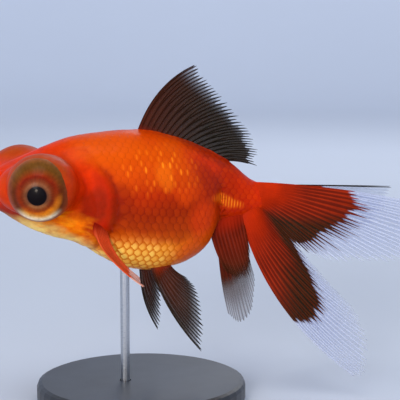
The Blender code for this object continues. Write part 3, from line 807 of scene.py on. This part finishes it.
def eye_material(name, centre, turn, rearward):
    """Rings round the pupil; rearward is 1 where the eye's own x points to the tail."""
    finish, tree, shader = new_material(name)
    local = mapped(tree, object_place(tree), "TEXTURE", Location=centre, Rotation=turn,
                   Scale=(MM, MM, MM))
    across, up, outward = (axis(tree, local, letter) for letter in "XYZ")
    flat = flat_place(tree, across, up)
    off_middle = reckon_vector(tree, "LENGTH", flat)
    radius = times(tree, reckon(tree, "ARCTAN2", off_middle, outward), BALL_RADIUS)
    height = reckon(tree, "DIVIDE", up, off_middle)
    mottle = noise_value(tree, local, 0.8, 4.0)
    # the rings wander a little, but not close to the pupil
    wandering = reckon(tree, "ADD", radius, rise(tree, mottle, 0.0, 1.0, -0.35, 0.35))
    ring_radius = blend_number(tree, rise(tree, radius, 2.9, 4.2), radius, wandering)
    above, beside, below = (
        zone_colours(tree, ring_radius, zones, zones[0][0], zones[-1][0])
        for zones in (UPPER_EYE, SIDE_EYE, LOWER_EYE))
    iris = blend(tree, soft_rise(tree, height, 0.75, 0.0), above, beside)
    iris = blend(tree, soft_rise(tree, height, -0.52, -0.95), iris, below)
    # a golden arc lies low behind the pupil
    aligned = reckon_vector(
        tree, "DOT_PRODUCT", reckon_vector(tree, "NORMALIZE", flat),
        (rearward * math.cos(GOLD_TURN), math.sin(GOLD_TURN), 0))
    off_arc = reckon(tree, "ABSOLUTE", reckon(tree, "SUBTRACT", ring_radius, GOLD_RADIUS))
    gilt = times(tree, soft_rise(tree, aligned, 0.55, 1.0),
                 soft_rise(tree, off_arc, 1.5, 0.2, 0.0, 0.62))
    iris = blend(tree, gilt, iris, tint(232, 132, 24))
    # fibres run outward from the pupil, and clouds lie over them
    fibre_place = flat_place(tree, times(tree, reckon(tree, "ARCTAN2", up, across), 7.0),
                             times(tree, radius, 0.3))
    fibres = blend(tree, noise_value(tree, fibre_place, 1.6, 4.0),
                   (0.60, 0.56, 0.52, 1), (1.40, 1.42, 1.44, 1))
    clouds = blend(tree, mottle, (0.50, 0.46, 0.40, 1), (1.50, 1.50, 1.50, 1))
    iris = blend(tree, 0.75, iris, fibres, "MULTIPLY")
    iris = blend(tree, 0.55, iris, clouds, "MULTIPLY")
    past_pupil = soft_rise(tree, radius, EYE_PUPIL - 0.10, EYE_PUPIL + 0.12)
    fill_sockets(tree, shader, {
        "Base Color": blend(tree, past_pupil, tint(8, 3, 6), iris), "Roughness": 0.45,
        "Specular IOR Level": 0.05, "Coat Weight": 0.10, "Coat Roughness": 0.10,
        "Coat IOR": 1.36})
    return finish


for side, label in ((-1, "left"), (1, "right")):
    centre = at(EYE_X, side * EYE_Y, EYE_Z - BALL_DROP)
    gaze = looking(side, GAZE_FORWARD, GAZE_DOWN)
    turn = gaze.to_track_quat("Z", "Y").to_euler()
    ball = start_with(bpy.ops.mesh.primitive_uv_sphere_add, segments=96, ring_count=72,
                      radius=BALL_RADIUS * MM)
    for vertex in ball.data.vertices:
        # a faint furrow round the iris
        off = math.acos(min(max(vertex.co.z / (BALL_RADIUS * MM), -1), 1))
        vertex.co *= 1 - 0.012 * hill(off - math.radians(44), math.radians(5))
    ball.location = centre
    ball.rotation_euler = turn
    settle(ball, "eyeball_" + label)
    bpy.ops.object.shade_smooth()
    ball.data.materials.append(eye_material("eye_colours_" + label, centre, turn, -side))
    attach(ball, "root")
    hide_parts("eye_" + label)

# ======================== Fins
# A fin is a fan of fine bony rays that fork toward the margin, with thin skin between them.
# Each is rooted in the body's flesh; the skin sinks between the rays and frays at the margin.

RAY_THICKNESS, WEB_THICKNESS = 0.28, 0.12
RAY_JOINT_STEP = 0.7                      # distance between the bony rings of a ray
RAY_STEPS = 16                            # columns of the mesh for each ray


def read_along(values, s):
    """Read evenly spaced values at a share s of the way, 0 to 1."""
    return smooth_through([i / (len(values) - 1) for i in range(len(values))], values, s)


def ray_ridge(phase, t):
    """1 on a ray and 0 between rays; each ray forks in two on its way to the margin."""
    place = phase % 1.0 - 0.5
    fork = 0.25 * ease(0.22, 0.75, t)
    return hill(abs(place) - fork, mix(0.15, 0.10, ease(0.1, 0.9, t)))


def shaded(patches, s, t):
    """How deeply a fin's patches darken it: place across, place out, reaches, strength."""
    clear = 1.0
    for across, out, half_across, half_out, strength in patches:
        clear *= 1 - strength * hill(math.hypot((s - across) / half_across,
                                                (t - out) / half_out), 1.0)
    return 1 - clear


# A fin's root and margin are its lines in the body and at its end. bow is how far its first
# and last rays bend, and sway and folds are the size and number of its waves along face.
# fray is how far the skin draws back between ray ends at the first and last ray, and flesh
# the thickness, reach and far end of the fleshy root. Most fins share these:
FIN_HABIT = {"sway": 0.4, "folds": 1.0, "face": (0, 1, 0), "rays": 10, "steps": 60,
             "relief": 1.0, "dusk": (), "ragged": (0.0, 0.0), "dark_edge": False}


def make_fin(name, fin, material):
    """Shape a flat grid into a fan of rays and give it its thickness."""
    rays = fin["rays"]
    root_thickness, root_reach, far_edge = fin["flesh"]
    columns = rays * RAY_STEPS
    item = start_with(bpy.ops.mesh.primitive_grid_add, x_subdivisions=columns,
                      y_subdivisions=fin["steps"], size=1.0)
    item.name = item.data.name = name
    chance = random.Random(fin["seed"])
    ray_luck = [chance.uniform(-1, 1) for ray in range(rays * 4)]
    guides = []
    for i in range(columns + 1):
        s = i / columns
        root, margin = (Vector([read_along(line, s) for line in zip(*fin[key])])
                        for key in ("root", "margin"))
        guides.append((root, margin, (root + margin) / 2 + fin["bow"][0].lerp(fin["bow"][1], s)))
    data = {key: [0.0] * len(item.data.vertices)
            for key in ("ridge", "reach", "spread", "run", "pale", "dusk")}
    thickness = item.vertex_groups.new(name="thickness")
    for vertex in item.data.vertices:
        s, t = vertex.co.x + 0.5, vertex.co.y + 0.5
        root, margin, crest = guides[min(max(round(s * columns), 0), columns)]
        phase = s * rays
        own = ray_luck[min(int(phase * 4), rays * 4 - 1)]
        leading_ray = ease(0.3 / rays, 0.0, s) * 0.9
        ridge = max(ray_ridge(phase, t), leading_ray)
        end = 1 - mix(*fin["fray"], s) * ((1 - ridge) * 0.6 + 0.4 * own * own)
        reach = t * end
        place = root * (1 - reach) ** 2 + crest * 2 * reach * (1 - reach) + margin * reach**2
        sway = (fin["sway"] * reach**1.5 * ease(1.0, 0.85, s)
                * math.sin(2 * math.pi * fin["folds"] * s + 0.6))
        pleat = 0.05 * math.cos(2 * math.pi * phase) * ease(0.0, 0.3, reach)
        wander = 0.35 * noise.noise(Vector((phase * 0.4, reach * 2.2, fin["seed"]))) * reach
        place += fin["face"] * (sway + pleat + wander)
        vertex.co = at(*place)
        k = vertex.index
        wall = mix(WEB_THICKNESS, RAY_THICKNESS,
                   ridge * mix(1.0, 0.35, reach) * fin["relief"])
        fleshy = ease(root_reach, 0.0, reach) * math.sin(math.pi * mix(0.08, far_edge, s)) ** 0.5
        thickness.add([k], mix(wall, root_thickness, fleshy) / root_thickness, "REPLACE")
        data["ridge"][k] = ridge
        data["reach"][k] = reach
        data["spread"][k] = phase
        data["run"][k] = reach * (margin - root).length
        data["dusk"][k] = shaded(fin["dusk"], s, reach + 0.02 * own)
        data["pale"][k] = -1.0
        if "pale_from" in fin:
            ragged = mix(*fin["ragged"], s) * ridge * (0.5 + 0.5 * own)
            data["pale"][k] = reach - read_along(fin["pale_from"], s) - 0.014 * own - ragged
        if "dusk_from" in fin:
            start = read_along(fin["dusk_from"], s)
            data["dusk"][k] = ease(start - 0.12, start + 0.16, reach + 0.04 * own)
        if fin["dark_edge"] and phase < 0.3:
            data["pale"][k], data["dusk"][k], data["ridge"][k] = -1.0, 1.0, 0.0
    for key, values in data.items():
        item.data.attributes.new(key, "FLOAT", "POINT").data.foreach_set("value", values)
    apply_modifier(item, "SOLIDIFY", thickness=root_thickness * MM, offset=0.0,
                   vertex_group="thickness")
    item.vertex_groups.clear()
    bpy.ops.object.shade_smooth()
    item.data.materials.append(material)
    return item


def fin_material(name, tones, see_through, root_share=0.2, end_solid=0.35, pale_edge=0.012):
    """Rays and the skin between them: lit at the root, darker in patches, pale at the end.

    tones are those of the root, and of web and ray in the main part, in the dusk and in the
    pale end. see_through holds how solid the web is in these three parts, and then how solid
    the pale end's rays are.
    """
    finish, tree, shader = new_material(name)
    root_tone, web, ray, dusk_web, dusk_ray, pale_web, pale_ray = (
        tint(*colour) for colour in tones)
    ridge, reach, spread, run, pale, dusk = (
        add_node(tree, "Attribute", attribute_name=key).outputs["Fac"]
        for key in ("ridge", "reach", "spread", "run", "pale", "dusk"))
    main_solid, dusk_solid, pale_solid, pale_ray_solid = see_through
    strands = noise_value(tree, flat_place(tree, times(tree, spread, 7.0),
                                           times(tree, run, 0.18)), 1.0, 3.0)
    dusk_share = reckon(tree, "ADD", dusk, rise(tree, strands, 0.0, 1.0, -0.22, 0.22),
                        clamp=True)
    pale_share = soft_rise(tree, pale, -pale_edge, pale_edge)
    far_share = soft_rise(tree, pale, 0.0, 0.30)
    # the red or brown part, uneven all over and streaked along the rays
    toned = blend(tree, soft_rise(tree, reach, root_share, root_share * 0.2),
                  blend(tree, ridge, web, ray), root_tone)
    toned = blend(tree, dusk_share, toned, blend(tree, ridge, dusk_web, dusk_ray))
    uneven = blend(tree, noise_value(tree, object_place(tree), 300.0, 4.0),
                   (0.62, 0.60, 0.58, 1), (1.38, 1.36, 1.34, 1))
    streaks = blend(tree, strands, (0.70, 0.66, 0.62, 1), (1.30, 1.32, 1.34, 1))
    toned = blend(tree, 0.8, toned, uneven, "MULTIPLY")
    toned = blend(tree, 0.8, toned, streaks, "MULTIPLY")
    # the pale end
    clear = blend(tree, 1.0, blend(tree, ridge, pale_web, pale_ray),
                  blend(tree, strands, (0.72, 0.72, 0.78, 1), (1.25, 1.25, 1.2, 1)),
                  "MULTIPLY")
    # how solid it is
    web_solid = blend_number(
        tree, pale_share, blend_number(tree, dusk_share, main_solid, dusk_solid),
        blend_number(tree, far_share, pale_solid * 1.5, pale_solid))
    ray_solid = blend_number(
        tree, pale_share, 1.0,
        blend_number(tree, far_share, pale_ray_solid * 1.3, pale_ray_solid))
    at_end = soft_rise(tree, reach, 0.72, 0.98)
    web_solid = times(tree, web_solid, blend_number(tree, at_end, 1.0, end_solid))
    solid = reckon(tree, "MAXIMUM", blend_number(tree, ridge, web_solid, ray_solid),
                   soft_rise(tree, reach, 0.32, 0.05))
    joints = reckon(tree, "SINE", times(tree, run, 2 * math.pi / RAY_JOINT_STEP))
    fill_sockets(tree, shader, {
        "Base Color": blend(tree, pale_share, toned, clear), "Alpha": solid,
        "Normal": bumps(tree, times(tree, joints, ridge), 0.12),
        "Roughness": 0.5, "Specular IOR Level": 0.05})
    return finish


def place_fin(name, given, side, material):
    """Make a fin that is given as for the left side, or mirror it to the right, side -1."""
    fin = {**FIN_HABIT, **given}
    for key in ("root", "margin", "bow"):
        fin[key] = [Vector((p[0], side * p[1], p[2])) for p in fin[key]]
    fin["face"] = Vector((fin["face"][0], side * fin["face"][1], fin["face"][2]))
    return make_fin(name, fin, material)


# the dorsal fin stands up from the ridge of the back, nearly black, with free ray ends
dorsal = {
    "root": ((-16.2, 0, 15.4), (-5.6, 0, 13.4), (3.7, 0, 9.0)),
    "margin": ((-1.0, 0, 32.4), (2.2, 0, 28.4), (5.8, 0, 24.4), (10.0, 0, 19.6),
               (13.5, 0, 15.1), (15.2, 0, 11.2), (14.7, 0, 7.4)),
    "bow": ((-3.4, 0, 4.2), (0.6, 0, 1.4)), "sway": 0.5, "folds": 1.5, "rays": 18,
    "fray": (0.08, 0.30), "flesh": (1.6, 0.16, 0.92), "seed": 3, "steps": 70,
    "dusk": ((0.74, 0.5, 0.66, 1.3, 1.0), (0.6, 0.9, 0.8, 0.5, 0.9))}
dark_fin = fin_material(
    "dark_fin", ((136, 28, 2), (82, 27, 10), (54, 17, 5), (38, 29, 14), (13, 10, 5),
                 (30, 32, 34), (30, 30, 30)), (0.98, 0.80, 0.4, 0.7),
    root_share=0.16, end_solid=0.12)
item = place_fin("dorsal_fan", dorsal, 1, dark_fin)
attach(item, "root")
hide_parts("dorsal_fin")

# the pectoral fins: the left is spread toward the side, the right is folded back
pectoral_spread = {
    "root": ((-28.8, -8.2, -2.2), (-26.2, -8.4, -2.4)),
    "margin": ((-21.4, -21.9, -15.6), (-20.7, -20.1, -15.8), (-20.2, -17.8, -15.3),
               (-20.2, -15.7, -14.5)),
    "bow": ((-5.4, 1.4, 0.2), (-2.7, 2.4, -1.4)), "sway": 0.25, "face": (0.8, -0.3, 0.5),
    "rays": 8, "fray": (0.04, 0.10), "flesh": (2.2, 0.4, 0.92), "seed": 5,
    "pale_from": (0.86, 0.84, 0.82, 0.80)}
pectoral_folded = {
    "root": ((-28.9, -8.6, -2.4), (-26.6, -8.8, -5.6)),
    "margin": ((-13.0, -17.4, -4.4), (-11.6, -17.2, -7.6), (-14.2, -16.0, -10.6),
               (-18.2, -14.4, -11.0)),
    "bow": ((0, -1.6, 0), (0, -1.0, 0)), "sway": 0.3, "face": (0.3, -0.9, 0.2),
    "rays": 12, "fray": (0.05, 0.05), "flesh": (2.2, 0.4, 0.92), "seed": 6,
    "pale_from": (0.86, 0.90, 0.93, 0.97)}
red_fin = fin_material(
    "red_fin", ((126, 12, 0), (196, 62, 24), (214, 84, 44), (120, 40, 14), (130, 44, 16),
                (206, 150, 132), (214, 150, 130)), (0.88, 0.88, 0.6, 0.9), root_share=0.3)
for fin, side, label in ((pectoral_spread, 1, "left"), (pectoral_folded, -1, "right")):
    item = place_fin("pectoral_fan_" + label, fin, side, red_fin)
    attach(item, "root")
    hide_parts("pectoral_fin_" + label)

# the pelvic fins hang from the belly, brown-black with a red-brown root
pelvic_finish = fin_material(
    "pelvic_fin", ((130, 36, 8), (88, 32, 10), (66, 26, 8), (44, 34, 22), (20, 16, 10),
                   (50, 46, 46), (44, 40, 38)), (0.90, 0.74, 0.4, 0.8),
    root_share=0.22, end_solid=0.2)
for side, label, shift in ((1, "left", Vector((0, 0, 0))), (-1, "right", Vector((-5.8, 0, 2.2)))):
    pelvic = {
        "root": ((-14.0, -3.8, -14.0), (-9.4, -4.2, -14.0)),
        "margin": (Vector((-2.4, -8.0, -35.3)) + shift, Vector((-1.8, -7.6, -30.8)) + shift,
                   Vector((-2.3, -7.0, -25.0)) + shift * 0.9,
                   Vector((-3.2, -6.2, -20.2)) + shift * 0.7,
                   Vector((-5.4, -5.0, -17.4)) + shift * 0.5),
        "bow": ((-3.0, 0, -0.8), (0, 0, -1.0)), "sway": 0.5, "folds": 1.2,
        "fray": (0.08, 0.16), "flesh": (1.8, 0.22, 0.92), "seed": 8 + side,
        "dusk": ((0.5, 1.0, 3.0, 0.62, 1.0), (0.0, 0.5, 0.16, 2.0, 0.8))}
    item = place_fin("pelvic_fan_" + label, pelvic, side, pelvic_finish)
    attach(item, "root")
    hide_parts("pelvic_fin_" + label)

# the twin anal fins: the left flares out short and brown, the right hangs long and pale
anal_near = {
    "root": ((1.6, -1.4, -4.4), (10.4, -1.3, -3.0)),
    "margin": ((4.6, -6.0, -16.8), (7.9, -6.6, -18.9), (10.4, -6.2, -18.4),
               (11.4, -4.2, -12.8)),
    "bow": ((-1.6, 0, -0.6), (0, 0, -0.6)), "relief": 0.4, "fray": (0.04, 0.22),
    "flesh": (2.0, 0.3, 0.92), "seed": 12, "dusk": ((0.55, 1.0, 2.0, 0.34, 1.0),)}
anal_far = {
    "root": ((4.8, -1.4, -3.4), (10.2, -1.3, -3.0)),
    "margin": ((8.4, -3.0, -29.2), (11.4, -2.8, -31.6), (14.8, -2.6, -28.6),
               (15.4, -2.2, -22.0), (13.0, -1.6, -15.0)),
    "bow": ((-1.6, 0, -0.8), (0.6, 0, -0.6)), "relief": 0.4, "fray": (0.03, 0.05),
    "flesh": (2.0, 0.2, 0.92), "seed": 13, "dusk": ((0.5, 0.75, 2.0, 0.3, 0.8),),
    "pale_from": (0.68, 0.62, 0.56, 0.56, 0.60)}
anal_finish = fin_material(
    "anal_fin", ((150, 28, 2), (92, 18, 2), (112, 28, 6), (46, 24, 8), (60, 30, 12),
                 (84, 64, 54), (80, 58, 48)), (0.98, 0.90, 0.38, 0.48),
    root_share=0.35, pale_edge=0.08)
for fin, side, label in ((anal_near, 1, "left"), (anal_far, -1, "right")):
    item = place_fin("anal_fan_" + label, fin, side, anal_finish)
    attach(item, "root")
    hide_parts("anal_fin_" + label)

# the twin tail: red lobes that turn brown and then, abruptly, clear and lilac-white
TAIL_ROOT_X, TAIL_ROOT_Y = 12.4, 1.0
TAIL_SPLAY, TAIL_LEAN = math.radians(20), math.radians(7.5)
TAIL_FACE = Vector((-math.sin(TAIL_SPLAY), -math.cos(TAIL_SPLAY), 0))


def tail_place(distance, height, pitch, origin=True):
    """A place on the left tail fin's splayed plane, turned up about its root by pitch."""
    back = Vector((math.cos(TAIL_SPLAY), -math.sin(TAIL_SPLAY), 0))
    up = Vector((0, 0, math.cos(TAIL_LEAN))) - TAIL_FACE * math.sin(TAIL_LEAN)
    place = back * distance + up * height
    place.rotate(Euler((0, -pitch, 0)))
    return place + (Vector((TAIL_ROOT_X, -TAIL_ROOT_Y, 0)) if origin else Vector())


TAIL_LOBES = {
    "upper": {"root": ((0, 4.0), (0, 0.1)),
              "margin": ((51.5, -3.5), (51, -8.5), (44, -14.0), (33, -15.6), (21, -15.2),
                         (12.4, -12.6)),
              "bow": ((0, 2.8), (0, 0.4)), "folds": 1.4, "rays": 15, "seed": 21,
              "fray": (0.05, 0.14), "ragged": (0.0, 0.34),
              "pale_from": (0.48, 0.50, 0.51, 0.57, 0.70, 0.86),
              "dusk_from": (0.60, 0.54, 0.48, 0.40, 0.33, 0.27)},
    "lower": {"root": ((-2.6, -2.8), (0.4, 0.4)),
              "margin": ((26.0, -43.6), (28.4, -41.5), (28.8, -35.3), (26.4, -28.4),
                         (19.4, -20.6), (12.4, -12.6)),
              "bow": ((-8.5, -4.5), (0, 0)), "folds": 1.2, "rays": 15, "seed": 22,
              "fray": (0.04, 0.14), "ragged": (0.0, 0.24),
              "pale_from": (0.60, 0.66, 0.67, 0.63, 0.68, 0.78),
              "dusk_from": (0.49, 0.41, 0.39, 0.42, 0.40, 0.33)}}
# the right fin lies close behind the left one, its upper edge dark to the tip
RIGHT_TAIL = {
    "upper": {"root": ((0, 3.2), (0, 0.1)), "bow": ((0, 0.2), (0, 0.4)), "dark_edge": True,
              "margin": ((54, -4.6), (52, -9.5), (44, -14.6), (33, -15.6), (21, -15.2),
                         (12.4, -12.6))},
    "lower": {"root": ((-1.5, -3.6), (0, 0.0)), "bow": ((-5.0, -3.0), (0, 0)),
              "margin": ((29.0, -41.0), (30.0, -38.5), (29.2, -34.3), (26.4, -28.4),
                         (19.4, -20.6), (12.4, -12.6))}}
tail_finish = fin_material(
    "tail_fin", ((176, 37, 0), (98, 18, 0), (150, 36, 4), (30, 20, 8), (74, 28, 6),
                 (126, 138, 180), (196, 202, 224)), (1.0, 0.96, 0.20, 0.36),
    root_share=0.32)
for side, label, pitch in ((1, "left", 0.0), (-1, "right", math.radians(3))):
    for lobe, shape in TAIL_LOBES.items():
        if label == "right":
            shape = dict(shape, **RIGHT_TAIL[lobe])
        fin = dict(shape, sway=0.9, face=TAIL_FACE, steps=80, flesh=(4.0, 0.24, 0.5),
                   seed=shape["seed"] + side,
                   root=[tail_place(*p, pitch) for p in shape["root"]],
                   margin=[tail_place(*p, pitch) for p in shape["margin"]],
                   bow=[tail_place(*p, pitch, origin=False) for p in shape["bow"]])
        item = place_fin(f"tail_fan_{label}_{lobe}", fin, side, tail_finish)
        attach(item, "root")
        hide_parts(f"tail_fin_{label}_{lobe}")

# ======================== Stand
# A turned round base of satin black acrylic carries a slim brushed steel rod, pressed into
# a hole in its top. The rod's upper end is hidden in the belly.

base_finish, tree, shader = new_material("black_acrylic")
haze = noise_value(tree, object_place(tree), 90.0, 5.0)
fill_sockets(tree, shader, {
    "Base Color": two_tones(tree, haze, (26, 27, 30), (38, 39, 43)),
    "Roughness": rise(tree, haze, 0.0, 1.0, 0.30, 0.46)})
rod_finish, tree, shader = new_material("brushed_steel")
brush = noise_value(tree, mapped(tree, object_place(tree), Scale=(900.0, 900.0, 9000.0)),
                    1.0, 3.0)
fill_sockets(tree, shader, {
    "Base Color": two_tones(tree, brush, (168, 170, 174), (206, 208, 212)),
    "Roughness": rise(tree, brush, 0.0, 1.0, 0.22, 0.38), "Metallic": 1.0})
for node, finish in (("stand_base", base_finish), ("stand_rod", rod_finish)):
    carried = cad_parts[node]
    for slot in carried.material_slots:
        slot.material = finish
